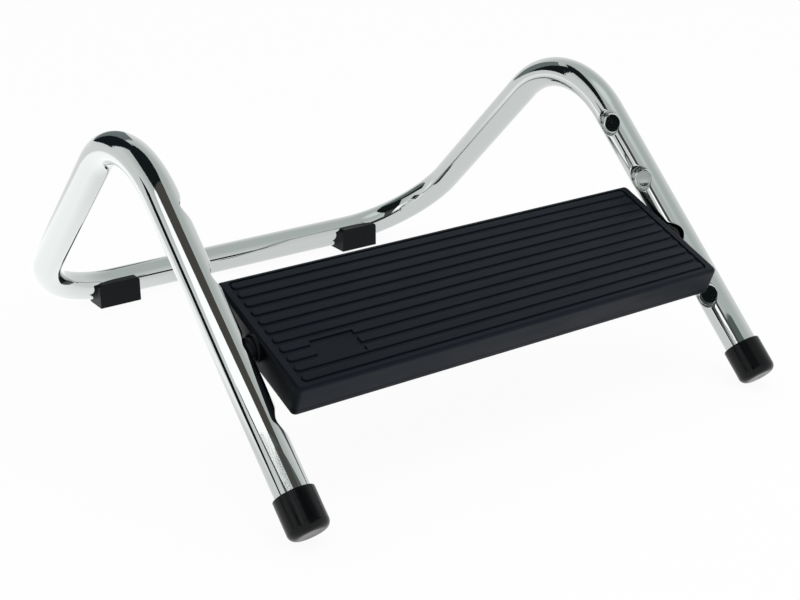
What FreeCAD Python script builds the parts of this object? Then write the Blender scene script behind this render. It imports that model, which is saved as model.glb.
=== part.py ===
"""Tilting footrest: a bent chrome tube frame, a ribbed tread hung between its legs, caps and clips.

Millimetres, +Z up, the user sits on the -Y side. The origin is the middle of the outline on the
floor. Every size comes from the sheet named Sizes.
"""
import FreeCAD, Part
import os
from math import cos, radians, sin

import Sketcher
from FreeCAD import Placement, Rotation, Vector

SIZES = [
    # The tube and its centreline. A leg rises from the floor to the hump and falls to the rear bar.
    ("tube_radius", 12.5, "outer radius of the frame tube"),
    ("tube_wall", 1.6, "wall of the frame tube"),
    ("bend_radius", 80.0, "centreline radius of every bend"),
    ("leg_x", 205.3, "centreline of a leg, out from the middle"),
    ("leg_foot_y", -245.1, "where a leg's centreline would meet the floor"),
    ("leg_angle", 43.13, "rise of a leg over the floor, degrees"),
    ("leg_run", 342.3, "floor point to the corner of the hump, along the leg"),
    ("bar_y", 228.7, "centreline of the rear bar"),
    ("bar_z", 15.1, "height of the rear bar's centreline"),
    ("tube_start", 15.6, "floor point to the tube's open end, along the leg"),
    # The pressed seats on the inner side of each leg.
    ("seat_first", 88.0, "floor point to the lowest seat, along the leg"),
    ("seat_pitch", 55.0, "from one seat to the next"),
    ("seat_count", 4, "seats in each leg"),
    ("seat_used", 1, "steps from the lowest seat to the one that holds the tread"),
    ("seat_radius", 9.0, "radius of a seat's round wall"),
    ("seat_floor", 5.5, "seat floor to the leg's centreline"),
    ("seat_corner", 1.5, "rounding between a seat's floor and wall"),
    ("seat_flare", 4.2, "rounding of a seat's mouth"),
    ("seat_lift", 0.35, "how far the mouth's rounding reaches past the tube's crown"),
    ("seat_turn", 20.0, "turn of the seats about the leg, mouths up and forward, degrees"),
    # Caps on the front ends of the legs.
    ("cap_radius", 14.75, "outer radius of a front cap"),
    ("cap_round", 5.6, "rounding of a cap's closed end"),
    ("cap_length", 29.0, "length of a cap"),
    ("cap_lip", 0.9, "rounding of a cap's open rim"),
    # Clips under the rear bar.
    ("clip_x", 127.5, "middle of a clip, out from the middle"),
    ("clip_length", 38.6, "length of a clip along the bar"),
    ("clip_front", 18.7, "bar centreline to the clip's front face"),
    ("clip_height", 22.0, "height of the clip's front wall"),
    ("clip_back_angle", 12.0, "rise of the thin back lip past the bar's middle, degrees"),
    ("clip_corner", 3.0, "rounding of the front face's upper corners"),
    # The tread. Its depth runs along V and its thickness along W, from the leg's centreline at the
    # seat in use.
    ("tread_tilt", 21.0, "front edge down, degrees"),
    ("tread_half", 189.7, "middle to a tread end"),
    ("tread_depth", 113.8, "front edge to back edge"),
    ("tread_top", 13.5, "centreline to the border's top face"),
    ("tread_split", -5.2, "centreline to the joint line of the two mouldings"),
    ("tread_bottom", -10.4, "centreline to the underside"),
    ("tread_corner", 4.0, "rounding of the tread's upright corners"),
    ("tread_edge", 2.8, "rounding of the top edges"),
    ("tread_wall", 3.0, "wall of the top moulding"),
    ("field_half", 182.6, "middle to the end of the sunk field"),
    ("field_front", -52.6, "front edge of the sunk field"),
    ("field_back", 53.6, "back edge of the sunk field"),
    ("field_sink", 1.2, "depth of the sunk field"),
    ("field_corner", 4.0, "corner rounding of the sunk field"),
    # Grip ribs in the field.
    ("rib_half", 181.0, "middle to the round end of a rib"),
    ("rib_width", 6.0, "width of a rib"),
    ("rib_pitch", 9.62, "from one rib to the next"),
    ("rib_first", 49.3, "middle line of the rearmost rib"),
    ("rib_count", 11, "ribs across the tread"),
    ("rib_crown", 0.7, "rounding along a rib's top edges"),
    ("plain_left", -159.0, "left edge of the plain window"),
    ("plain_right", -124.5, "right edge of the plain window"),
    ("plain_front", -38.6, "front edge of the plain window"),
    ("plain_back", -17.5, "back edge of the plain window"),
    # The tray that closes the tread from below.
    ("tray_inset", 0.4, "how far the tray's outline stands in from the tread's"),
    ("tray_gap", 0.7, "shadow gap between the two mouldings"),
    ("tray_plate", 2.6, "thickness of the tray's plate"),
    ("tray_rim", 2.0, "thickness of the tray's upstanding rim"),
    ("tray_rim_top", -5.2, "top of the rim, from the centreline"),
    ("tray_edge", 2.0, "rounding of the tray's bottom edges"),
    # The steel rod through the tread and the bosses on its ends.
    ("rod_radius", 5.0, "radius of the pivot rod"),
    ("rod_half", 184.0, "middle to a rod end"),
    ("rod_fit", 0.05, "radial room round the rod"),
    ("pivot_rise", 3.0, "leg's centreline to the pivot axis, square to the leg"),
    ("boss_head", 8.2, "radius of a boss in its seat"),
    ("boss_tip", 198.3, "middle to a boss's tip"),
    ("boss_nose", 4.0, "rounding of a boss's tip"),
    ("boss_collar", 10.2, "radius of the collar that bears on the tread's end"),
    ("collar_thick", 2.3, "thickness of the collar"),
    ("collar_edge", 1.0, "rounding of the collar"),
    ("boss_stem", 6.3, "radius of a boss's stem inside the tread"),
    ("boss_tail", 172.0, "middle to a boss's inner end"),
    # Webs inside the top moulding, and the screws that hold the tray.
    ("web_thick", 2.2, "thickness of a web"),
    ("web_low", -5.0, "lower edge of the webs, from the centreline"),
    ("web_step", 55.0, "from one cross web to the next"),
    ("web_count", 6, "cross webs"),
    ("spine_v", 17.0, "middle to a long web"),
    ("screw_v", 42.0, "middle to a row of screws"),
    ("screw_step", 110.0, "from one screw to the next along the tread"),
    ("screw_count", 4, "screws in a row"),
    ("screw_post", 4.0, "radius of a screw post"),
    ("screw_shank", 1.75, "radius of a screw's shank"),
    ("screw_depth", 14.0, "length of a screw from its head's face"),
    ("pilot_room", 1.0, "depth left under a screw's tip"),
    ("screw_room", 0.2, "radial room round a screw in the tray"),
    ("screw_head", 3.4, "radius of a screw's head"),
    ("screw_head_high", 1.6, "height of a screw's head"),
]

doc = FreeCAD.newDocument("Footrest")
sheet = doc.addObject("Spreadsheet::Sheet", "Sizes")
for row, (alias, value, meaning) in enumerate(SIZES, start=1):
    sheet.set(f"A{row}", meaning)
    sheet.set(f"B{row}", str(value))
    sheet.setAlias(f"B{row}", alias)
doc.recompute()
SIZE = {alias: value for alias, value, meaning in SIZES}

# Points and directions of a leg's centreline, as expressions over the sheet.
LEG_ANGLE = "(Sizes.leg_angle * 1 deg)"
HUMP_Y = f"(Sizes.leg_foot_y + Sizes.leg_run * cos({LEG_ANGLE}))"
HUMP_Z = f"(Sizes.leg_run * sin({LEG_ANGLE}))"
SLOPE_ANGLE = f"atan(({HUMP_Z} - Sizes.bar_z) / (Sizes.bar_y - {HUMP_Y}))"
SLOPE_RUN = f"((Sizes.bar_y - {HUMP_Y}) / cos({SLOPE_ANGLE}))"
HUMP_TURN = f"({LEG_ANGLE} + {SLOPE_ANGLE})"
HUMP_TANGENT = f"(Sizes.bend_radius * tan({HUMP_TURN} / 2))"
SEAT_RUN = "(Sizes.seat_first + Sizes.seat_used * Sizes.seat_pitch)"
# The pivot axis in the tread's own V and W.
LEAN = f"({LEG_ANGLE} - Sizes.tread_tilt * 1 deg)"
AXIS_V, AXIS_W = f"-(Sizes.pivot_rise * sin({LEAN}))", f"Sizes.pivot_rise * cos({LEAN})"


def on_leg(run):
    """Y and Z of the leg's centreline at a distance from the floor point."""
    return f"Sizes.leg_foot_y + ({run}) * cos({LEG_ANGLE})", f"({run}) * sin({LEG_ANGLE})"


def on_slope(run):
    """Y and Z of the falling centreline at a distance past the hump's corner."""
    return f"{HUMP_Y} + ({run}) * cos({SLOPE_ANGLE})", f"{HUMP_Z} - ({run}) * sin({SLOPE_ANGLE})"


def value_of(expression):
    """The number that an expression over the sheet gives."""
    result = sheet.evalExpression(expression)
    return getattr(result, "Value", result)


def bind(target, **expressions):
    """Bind properties to expressions; a double underscore in a name stands for a dot."""
    for name, expression in expressions.items():
        target.setExpression(name.replace("__", "."), expression)


def new_body(label):
    body = doc.addObject("PartDesign::Body", "Body_" + label)
    body.Label = label
    return body


def new_sketch(body, name, plane="XY_Plane", x="0", y="0", z="0", turn=None):
    """A sketch on an origin plane of its body, shifted in the plane's own axes and turned about X."""
    support = next(f for f in body.Origin.OriginFeatures if f.Role == plane)
    sketch = body.newObject("Sketcher::SketchObject", name)
    sketch.AttachmentSupport = [(support, "")]
    sketch.MapMode = "FlatFace"
    angle = 0.0 if turn is None else value_of(turn)
    sketch.AttachmentOffset = Placement(Vector(), Rotation(Vector(1, 0, 0), angle))
    bind(sketch, AttachmentOffset__Base__x=x, AttachmentOffset__Base__y=y, AttachmentOffset__Base__z=z)
    if turn is not None:
        bind(sketch, AttachmentOffset__Rotation__Angle=turn)
    return sketch


def dimension(sketch, kind, *arguments):
    """Add a driving dimension whose value is an expression, the last argument."""
    expression = arguments[-1]
    value = value_of(expression)
    if kind in ("DistanceX", "DistanceY") and value < 0:
        raise ValueError("a signed distance names its points in rising order")
    index = sketch.addConstraint(Sketcher.Constraint(kind, *arguments[:-1], value))
    sketch.setExpression(f"Constraints[{index}]", expression)


def place_point(sketch, geometry, point, x, y):
    """Hold a point of the sketch at X and Y, given as expressions of either sign."""
    for kind, expression in (("DistanceX", x), ("DistanceY", y)):
        if value_of(expression) < 0:
            dimension(sketch, kind, geometry, point, -1, 1, f"-({expression})")
        else:
            dimension(sketch, kind, -1, 1, geometry, point, expression)


def draw_circle(sketch, radius, x="0", y="0"):
    """A circle of a bound radius about a bound point."""
    centre = Vector(value_of(x), value_of(y), 0)
    circle = sketch.addGeometry(Part.Circle(centre, Vector(0, 0, 1), value_of(radius)), False)
    dimension(sketch, "Radius", circle, radius)
    place_point(sketch, circle, 3, x, y)


def draw_polygon(sketch, corners):
    """A closed outline of straight sides through corners given as pairs of expressions."""
    points = [Vector(value_of(x), value_of(y), 0) for x, y in corners]
    count = len(points)
    for index in range(count):
        sketch.addGeometry(Part.LineSegment(points[index], points[(index + 1) % count]), False)
    for index in range(count):
        sketch.addConstraint(Sketcher.Constraint("Coincident", index, 2, (index + 1) % count, 1))
    for index, (x, y) in enumerate(corners):
        place_point(sketch, index, 1, x, y)


def draw_rectangle(sketch, left, right, low, high):
    draw_polygon(sketch, [(left, low), (right, low), (right, high), (left, high)])


def draw_slot(sketch, half, width, middle):
    """A round-ended bar along X about the middle line given."""
    reach = f"{half} - {width} / 2"
    end, radius, level = (value_of(e) for e in (reach, f"{width} / 2", middle))
    up = Vector(0, 0, 1)
    sketch.addGeometry([
        Part.LineSegment(Vector(-end, level - radius, 0), Vector(end, level - radius, 0)),
        Part.ArcOfCircle(Part.Circle(Vector(end, level, 0), up, radius), radians(-90), radians(90)),
        Part.LineSegment(Vector(end, level + radius, 0), Vector(-end, level + radius, 0)),
        Part.ArcOfCircle(Part.Circle(Vector(-end, level, 0), up, radius), radians(90), radians(270))],
        False)
    for join in ((0, 2, 1, 1), (1, 2, 2, 1), (2, 2, 3, 1), (3, 2, 0, 1)):
        sketch.addConstraint(Sketcher.Constraint("Tangent", *join))
    sketch.addConstraint(Sketcher.Constraint("Equal", 1, 3))
    dimension(sketch, "Radius", 1, f"{width} / 2")
    place_point(sketch, 1, 3, reach, middle)
    place_point(sketch, 3, 3, f"-({reach})", middle)


def pad(body, sketch, length, name, midplane=False, back=False):
    feature = body.newObject("PartDesign::Pad", name)
    feature.Profile = sketch
    feature.Midplane = midplane
    feature.Reversed = back
    bind(feature, Length=length)
    sketch.Visibility = False
    return feature


def pocket(body, sketch, depth, name, back=False):
    feature = body.newObject("PartDesign::Pocket", name)
    feature.Profile = sketch
    feature.Reversed = back
    bind(feature, Length=depth)
    sketch.Visibility = False
    return feature


def turn_profile(body, sketch, axis, name, angle="360", kind="Revolution", back=False):
    """Revolve a sketch about one of its own axes, to add or to cut."""
    feature = body.newObject("PartDesign::" + kind, name)
    feature.Profile = sketch
    feature.ReferenceAxis = (sketch, [axis])
    feature.Reversed = back
    bind(feature, Angle=angle)
    sketch.Visibility = False
    return feature


def repeat(body, feature, direction, length, count, name):
    """A row of copies of a feature; the body's tip moves to it."""
    pattern = body.newObject("PartDesign::LinearPattern", name)
    pattern.Originals = [feature]
    pattern.Direction = direction
    bind(pattern, Length=length, Occurrences=count)
    body.Tip = pattern
    return pattern


def round_edges(body, radius, name, wanted):
    """Fillet the edges of the body's tip that a test of the edge picks out."""
    doc.recompute()
    base = body.Tip
    names = [f"Edge{i}" for i, edge in enumerate(base.Shape.Edges, start=1) if wanted(edge)]
    if not names:
        raise ValueError("no edge to round in " + name)
    feature = body.newObject("PartDesign::Fillet", name)
    feature.Base = (base, names)
    bind(feature, Radius=radius)
    return feature


def all_at(edge, axis, level, tolerance=0.01):
    """Whether an edge lies wholly at one level along an axis."""
    box = edge.BoundBox
    low, high = getattr(box, axis + "Min"), getattr(box, axis + "Max")
    return abs(low - level) < tolerance and abs(high - level) < tolerance


def upright(edge, axis="Z"):
    """Whether an edge runs straight along an axis."""
    box = edge.BoundBox
    others = [name for name in "XYZ" if name != axis]
    thin = all(getattr(box, name + "Length") < 0.01 for name in others)
    return thin and getattr(box, axis + "Length") > 0.1


# Frame tube: one tube bent into two legs, two humps and a rear bar, with seats pressed into the legs.

def seat_profile(sketch, grown):
    """Half the section of a seat, grown by the wall for the tube's inner side."""
    floor = f"(Sizes.seat_floor - {grown})"
    wall = f"(Sizes.seat_radius + {grown})"
    corner = f"(Sizes.seat_corner + {grown})"
    flare = f"(Sizes.seat_flare - {grown})"
    crown = f"(Sizes.tube_radius + Sizes.seat_lift - {grown})"
    x0, x1, x2, x3 = (value_of(e) for e in (floor, f"{floor} + {corner}",
                                                  f"{crown} - {flare}", crown))
    r0, r1, r2 = (value_of(e) for e in (f"{wall} - {corner}", wall, f"{wall} + {flare}"))
    outside = x3 + SIZE["seat_flare"]
    up = Vector(0, 0, 1)
    lines = [Part.LineSegment(Vector(x0, 0, 0), Vector(x0, r0, 0)),
             Part.ArcOfCircle(Part.Circle(Vector(x1, r0, 0), up, x1 - x0), radians(90), radians(180)),
             Part.LineSegment(Vector(x1, r1, 0), Vector(x2, r1, 0)),
             Part.ArcOfCircle(Part.Circle(Vector(x2, r2, 0), up, x3 - x2), radians(270), radians(360)),
             Part.LineSegment(Vector(x3, r2, 0), Vector(outside, r2, 0)),
             Part.LineSegment(Vector(outside, r2, 0), Vector(outside, 0, 0)),
             Part.LineSegment(Vector(outside, 0, 0), Vector(x0, 0, 0))]
    sketch.addGeometry(lines, False)
    joins = [("Tangent", 0, 2, 1, 2), ("Tangent", 1, 1, 2, 1), ("Tangent", 2, 2, 3, 1),
             ("Coincident", 3, 2, 4, 1), ("Coincident", 4, 2, 5, 1), ("Coincident", 5, 2, 6, 1),
             ("Coincident", 6, 2, 0, 1), ("Vertical", 0), ("Horizontal", 2), ("Horizontal", 4),
             ("Vertical", 5), ("Horizontal", 6), ("Horizontal", 3, 3, 3, 2)]
    for join in joins:
        sketch.addConstraint(Sketcher.Constraint(*join))
    place_point(sketch, 0, 1, floor, "0")
    dimension(sketch, "Radius", 1, corner)
    dimension(sketch, "Radius", 3, flare)
    dimension(sketch, "DistanceY", -1, 1, 2, 1, wall)
    dimension(sketch, "DistanceX", -1, 1, 3, 2, crown)
    dimension(sketch, "DistanceX", 4, 1, 4, 2, "Sizes.seat_flare")


def rod_half(label, radius, grown):
    """The left half of the bent rod with its seats, from the front end to the middle of the bar."""
    body = new_body(label)
    left = "-Sizes.leg_x"
    along_leg = f"{LEG_ANGLE} - 90 deg"
    along_slope = f"-{SLOPE_ANGLE} - 90 deg"

    y, z = on_leg("Sizes.tube_start")
    foot = new_sketch(body, label + "_foot", x=left, y=y, z=z, turn=along_leg)
    draw_circle(foot, radius)
    pad(body, foot, f"Sizes.leg_run - {HUMP_TANGENT} - Sizes.tube_start", label + "_leg")

    y, z = on_leg(f"Sizes.leg_run - {HUMP_TANGENT}")
    hump = new_sketch(body, label + "_hump", x=left, y=f"{y} + Sizes.bend_radius * sin({LEG_ANGLE})",
                      z=f"{z} - Sizes.bend_radius * cos({LEG_ANGLE})", turn=along_leg)
    draw_circle(hump, radius, y="-Sizes.bend_radius")
    turn_profile(body, hump, "H_Axis", label + "_hump_bend", angle=HUMP_TURN, back=True)

    y, z = on_slope(HUMP_TANGENT)
    slope = new_sketch(body, label + "_slope", x=left, y=y, z=z, turn=along_slope)
    draw_circle(slope, radius)
    pad(body, slope, f"{SLOPE_RUN} - {HUMP_TANGENT} - Sizes.bend_radius", label + "_fall")

    y, z = on_slope(f"{SLOPE_RUN} - Sizes.bend_radius")
    corner = new_sketch(body, label + "_corner", x=f"{left} + Sizes.bend_radius", y=y, z=z,
                        turn=along_slope)
    draw_circle(corner, radius, x="-Sizes.bend_radius")
    turn_profile(body, corner, "V_Axis", label + "_corner_bend", angle="90")

    bar = new_sketch(body, label + "_bar", "YZ_Plane", x="Sizes.bar_y", y="Sizes.bar_z",
                     z=f"{left} + Sizes.bend_radius")
    draw_circle(bar, radius)
    pad(body, bar, "Sizes.leg_x - Sizes.bend_radius", label + "_half_bar")

    y, z = on_leg("Sizes.seat_first")
    seat = new_sketch(body, label + "_seat", x=left, y=y, z=z)
    rise = value_of(LEG_ANGLE)
    along = Vector(0, cos(radians(rise)), sin(radians(rise)))
    seat.AttachmentOffset = Placement(Vector(), Rotation(along, -SIZE["seat_turn"]))
    bind(seat, AttachmentOffset__Rotation__Angle="-Sizes.seat_turn * 1 deg")
    seat_profile(seat, grown)
    groove = turn_profile(body, seat, "H_Axis", label + "_seat_cut", kind="Groove")
    doc.recompute()
    repeat(body, groove, (foot, ["N_Axis"]), "(Sizes.seat_count - 1) * Sizes.seat_pitch",
           "Sizes.seat_count", label + "_seats")
    return body


def mirrored_pair(label, half):
    """A half and its mirror image across the middle plane, as one solid."""
    mirror = doc.addObject("Part::Mirroring", label + "_mirror")
    mirror.Source = half
    mirror.Base = Vector()
    mirror.Normal = Vector(1, 0, 0)
    whole = doc.addObject("Part::MultiFuse", label)
    whole.Shapes = [half, mirror]
    whole.Refine = True
    return whole


def frame_tube(tube_skin):
    core = mirrored_pair("rod_core", rod_half("core_half", "Sizes.tube_radius - Sizes.tube_wall",
                                              "Sizes.tube_wall"))
    tube = doc.addObject("Part::Cut", "FrameTube")
    tube.Base = tube_skin
    tube.Tool = core
    tube.Label = "frame_tube"
    return tube


# Front caps: round-ended rubber sleeves. Each stands on the rounded rim of its closed end.

def front_cap(side, sign):
    body = new_body("front_cap_" + side)
    ring = "(Sizes.cap_radius - Sizes.cap_round)"
    first = f"(({ring} * cos({LEG_ANGLE}) + Sizes.cap_round) / sin({LEG_ANGLE}) - Sizes.cap_round)"
    y, z = on_leg(first)
    turn = f"{LEG_ANGLE} - 90 deg"
    body.Placement = Placement(Vector(), Rotation(Vector(1, 0, 0), value_of(turn)))
    bind(body, Placement__Base__x=f"{sign} * Sizes.leg_x", Placement__Base__y=y,
         Placement__Base__z=z, Placement__Rotation__Angle=turn)
    outline = new_sketch(body, "cap_outline_" + side)
    draw_circle(outline, "Sizes.cap_radius")
    pad(body, outline, "Sizes.cap_length", "cap_solid_" + side)
    round_edges(body, "Sizes.cap_round", "cap_nose_" + side, lambda edge: all_at(edge, "Z", 0))
    hollow = new_sketch(body, "cap_hollow_" + side, z="Sizes.cap_length")
    draw_circle(hollow, "Sizes.tube_radius")
    pocket(body, hollow, f"{first} + Sizes.cap_length - Sizes.tube_start", "cap_socket_" + side)
    round_edges(body, "Sizes.cap_lip", "cap_rim_" + side,
                lambda edge: all_at(edge, "Z", SIZE["cap_length"])
                and edge.BoundBox.XLength > SIZE["cap_radius"] + SIZE["tube_radius"])
    return body


# Rear clips: saddles under the bar, thick in front and thin behind, hollowed by the tube itself.

def rear_clip(side, sign, tube_skin):
    body = doc.addObject("PartDesign::Body", "ClipBlock_" + side)
    section = new_sketch(body, "clip_section_" + side, "YZ_Plane", x="Sizes.bar_y", y="Sizes.bar_z",
                         z=f"{sign} * Sizes.clip_x - Sizes.clip_length / 2")
    outer, front = SIZE["bar_z"], -SIZE["clip_front"]
    top = SIZE["clip_height"] - SIZE["bar_z"]
    lip = radians(SIZE["clip_back_angle"])
    round_back = Part.Circle(Vector(), Vector(0, 0, 1), outer)
    corners = [Vector(0, -outer, 0), Vector(front, -outer, 0), Vector(front, top, 0),
               Vector(0, top, 0), Vector(), Vector(outer * cos(lip), outer * sin(lip), 0)]
    for start, stop in zip(corners, corners[1:]):
        section.addGeometry(Part.LineSegment(start, stop), False)
    section.addGeometry(Part.ArcOfCircle(round_back, radians(270), radians(360) + lip), False)
    joins = [("Coincident", 0, 2, 1, 1), ("Coincident", 1, 2, 2, 1), ("Coincident", 2, 2, 3, 1),
             ("Coincident", 3, 2, 4, 1), ("Coincident", 4, 2, 5, 2), ("Tangent", 0, 1, 5, 1),
             ("Horizontal", 0), ("Vertical", 1), ("Horizontal", 2), ("Vertical", 3)]
    for join in joins:
        section.addConstraint(Sketcher.Constraint(*join))
    place_point(section, 5, 3, "0", "0")
    place_point(section, 4, 1, "0", "0")
    dimension(section, "Radius", 5, "Sizes.bar_z")
    dimension(section, "DistanceY", -1, 1, 4, 2, "Sizes.bar_z * sin(Sizes.clip_back_angle * 1 deg)")
    place_point(section, 1, 2, "-Sizes.clip_front", "Sizes.clip_height - Sizes.bar_z")
    pad(body, section, "Sizes.clip_length", "clip_solid_" + side)
    face_y = SIZE["bar_y"] + front
    round_edges(body, "Sizes.clip_corner", "clip_corners_" + side,
                lambda edge: upright(edge, "Y") and edge.BoundBox.ZMin > SIZE["clip_height"] - 0.1
                and edge.BoundBox.YMin < face_y + 0.1)
    clip = doc.addObject("Part::Cut", "Clip_" + side)
    clip.Base = body
    clip.Tool = tube_skin
    clip.Label = "rear_clip_" + side
    return clip


# The tread's pieces share one placement: the leg's centreline at the seat in use, turned by the tilt.

def hang_in_seat(body):
    y, z = on_leg(SEAT_RUN)
    body.Placement = Placement(Vector(), Rotation(Vector(1, 0, 0), SIZE["tread_tilt"]))
    bind(body, Placement__Base__y=y, Placement__Base__z=z,
         Placement__Rotation__Angle="Sizes.tread_tilt * 1 deg")


def tread_block(body, name, bottom, height, inset):
    """A block with the tread's outline, rounded at its four upright corners."""
    outline = new_sketch(body, name + "_outline", z=bottom)
    side, deep = f"Sizes.tread_half - {inset}", f"Sizes.tread_depth / 2 - {inset}"
    draw_rectangle(outline, f"-({side})", side, f"-({deep})", deep)
    pad(body, outline, height, name + "_block")
    round_edges(body, f"Sizes.tread_corner - {inset}", name + "_corners", upright)


def screw_places():
    """The middle of each screw, as expressions along the tread's length and depth."""
    for row in (-1, 1):
        for index in range(SIZE["screw_count"]):
            yield (f"({index} - (Sizes.screw_count - 1) / 2) * Sizes.screw_step",
                   f"{row} * Sizes.screw_v")


def screw_circles(sketch, radius):
    for x, y in screw_places():
        draw_circle(sketch, radius, x, y)


def tread_top():
    body = new_body("tread_top")
    height = "Sizes.tread_top - Sizes.tread_split"
    tread_block(body, "top", "Sizes.tread_split", height, "0")
    round_edges(body, "Sizes.tread_edge", "top_edges", lambda e: all_at(e, "Z", SIZE["tread_top"]))

    field = new_sketch(body, "top_field", z="Sizes.tread_top")
    draw_rectangle(field, "-Sizes.field_half", "Sizes.field_half", "Sizes.field_front",
                   "Sizes.field_back")
    pocket(body, field, "Sizes.field_sink", "top_field_cut")
    floor = SIZE["tread_top"] - SIZE["field_sink"]
    round_edges(body, "Sizes.field_corner", "top_field_corners",
                lambda e: upright(e) and abs(e.BoundBox.ZMin - floor) < 0.01)

    ribs = new_sketch(body, "top_rib", z="Sizes.tread_top - Sizes.field_sink")
    draw_slot(ribs, "Sizes.rib_half", "Sizes.rib_width", "Sizes.rib_first")
    rib = pad(body, ribs, "Sizes.field_sink", "top_rib_pad")
    doc.recompute()
    repeat(body, rib, (ribs, ["V_Axis"]), "(Sizes.rib_count - 1) * Sizes.rib_pitch",
           "Sizes.rib_count", "top_ribs").Reversed = True
    reach, rear = SIZE["rib_half"] + 0.1, SIZE["rib_first"] + SIZE["rib_width"] / 2 + 0.1
    round_edges(body, "Sizes.rib_crown", "top_rib_crowns",
                lambda e: all_at(e, "Z", SIZE["tread_top"]) and e.BoundBox.XMax < reach
                and e.BoundBox.XMin > -reach and e.BoundBox.YMax < rear
                and e.BoundBox.YMin > SIZE["field_front"] + 0.5)

    plain = new_sketch(body, "top_plain", z="Sizes.tread_top")
    draw_rectangle(plain, "Sizes.plain_left", "Sizes.plain_right", "Sizes.plain_front",
                   "Sizes.plain_back")
    pocket(body, plain, "Sizes.field_sink", "top_plain_cut")

    roof = "Sizes.tread_top - Sizes.field_sink - Sizes.tread_wall"
    hollow = new_sketch(body, "top_hollow", z="Sizes.tread_split")
    inside, deep = "Sizes.tread_half - Sizes.tread_wall", "Sizes.tread_depth / 2 - Sizes.tread_wall"
    draw_rectangle(hollow, f"-({inside})", inside, f"-({deep})", deep)
    pocket(body, hollow, f"{roof} - Sizes.tread_split", "top_hollow_cut", back=True)

    web = new_sketch(body, "top_web", z="Sizes.web_low")
    first = "(Sizes.web_count - 1) / 2 * Sizes.web_step"
    draw_rectangle(web, f"-({first}) - Sizes.web_thick / 2", f"-({first}) + Sizes.web_thick / 2",
                   f"-({deep})", deep)
    cross = pad(body, web, f"{roof} - Sizes.web_low", "top_web_pad")
    doc.recompute()
    repeat(body, cross, (web, ["H_Axis"]), "(Sizes.web_count - 1) * Sizes.web_step",
           "Sizes.web_count", "top_webs")
    for name, sign in (("front", -1), ("back", 1)):
        spine = new_sketch(body, "top_spine_" + name, z="Sizes.web_low")
        middle = f"{sign} * Sizes.spine_v"
        draw_rectangle(spine, f"-({inside})", inside, f"{middle} - Sizes.web_thick / 2",
                       f"{middle} + Sizes.web_thick / 2")
        pad(body, spine, f"{roof} - Sizes.web_low", "top_spine_pad_" + name)

    posts = new_sketch(body, "top_posts", z="Sizes.web_low")
    screw_circles(posts, "Sizes.screw_post")
    pad(body, posts, f"{roof} - Sizes.web_low", "top_posts_pad")
    pilots = new_sketch(body, "top_pilots", z="Sizes.web_low")
    screw_circles(pilots, "Sizes.screw_shank")
    below = "Sizes.web_low - Sizes.tread_bottom"
    pocket(body, pilots, f"Sizes.screw_depth - ({below}) + Sizes.pilot_room", "top_pilots_cut",
           back=True)

    rod = new_sketch(body, "top_rod_room", "YZ_Plane", z="-Sizes.tread_half")
    draw_circle(rod, "Sizes.rod_radius + Sizes.rod_fit", AXIS_V, AXIS_W)
    pocket(body, rod, "2 * Sizes.tread_half", "top_rod_cut", back=True)
    for name, sign in (("left", -1), ("right", 1)):
        mouth = new_sketch(body, "top_boss_room_" + name, "YZ_Plane", z=f"{sign} * Sizes.tread_half")
        draw_circle(mouth, "Sizes.boss_stem", AXIS_V, AXIS_W)
        pocket(body, mouth, "Sizes.tread_wall", "top_boss_cut_" + name, back=sign < 0)
    hang_in_seat(body)
    return body


def tread_tray():
    body = new_body("tread_tray")
    height = "Sizes.tread_split - Sizes.tray_gap - Sizes.tread_bottom"
    tread_block(body, "tray", "Sizes.tread_bottom", height, "Sizes.tray_inset")
    round_edges(body, "Sizes.tray_edge", "tray_edges",
                lambda e: all_at(e, "Z", SIZE["tread_bottom"]))
    room = "Sizes.tread_wall + 2 * Sizes.tray_inset"
    rim = new_sketch(body, "tray_rim", z="Sizes.tread_bottom + Sizes.tray_plate")
    side, deep = f"Sizes.tread_half - ({room})", f"Sizes.tread_depth / 2 - ({room})"
    draw_rectangle(rim, f"-({side})", side, f"-({deep})", deep)
    pad(body, rim, "Sizes.tray_rim_top - Sizes.tread_bottom - Sizes.tray_plate", "tray_rim_pad")
    hollow = new_sketch(body, "tray_hollow", z="Sizes.tray_rim_top")
    draw_rectangle(hollow, f"-({side} - Sizes.tray_rim)", f"{side} - Sizes.tray_rim",
                   f"-({deep} - Sizes.tray_rim)", f"{deep} - Sizes.tray_rim")
    pocket(body, hollow, "Sizes.tray_rim_top - Sizes.tread_bottom - Sizes.tray_plate",
           "tray_hollow_cut")
    posts = new_sketch(body, "tray_posts", z="Sizes.web_low")
    screw_circles(posts, "Sizes.screw_post")
    pad(body, posts, "Sizes.web_low - Sizes.tread_bottom - Sizes.tray_plate", "tray_posts_pad",
        back=True)
    heads = new_sketch(body, "tray_heads", z="Sizes.tread_bottom")
    screw_circles(heads, "Sizes.screw_head + Sizes.screw_room")
    pocket(body, heads, "Sizes.screw_head_high", "tray_heads_cut", back=True)
    shanks = new_sketch(body, "tray_shanks", z="Sizes.tread_bottom")
    screw_circles(shanks, "Sizes.screw_shank + Sizes.screw_room")
    pocket(body, shanks, "Sizes.web_low - Sizes.tread_bottom", "tray_shanks_cut", back=True)
    hang_in_seat(body)
    return body


def pivot_rod():
    body = new_body("pivot_rod")
    section = new_sketch(body, "rod_section", "YZ_Plane", z="-Sizes.rod_half")
    draw_circle(section, "Sizes.rod_radius", AXIS_V, AXIS_W)
    pad(body, section, "2 * Sizes.rod_half", "rod_solid")
    hang_in_seat(body)
    return body


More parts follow.
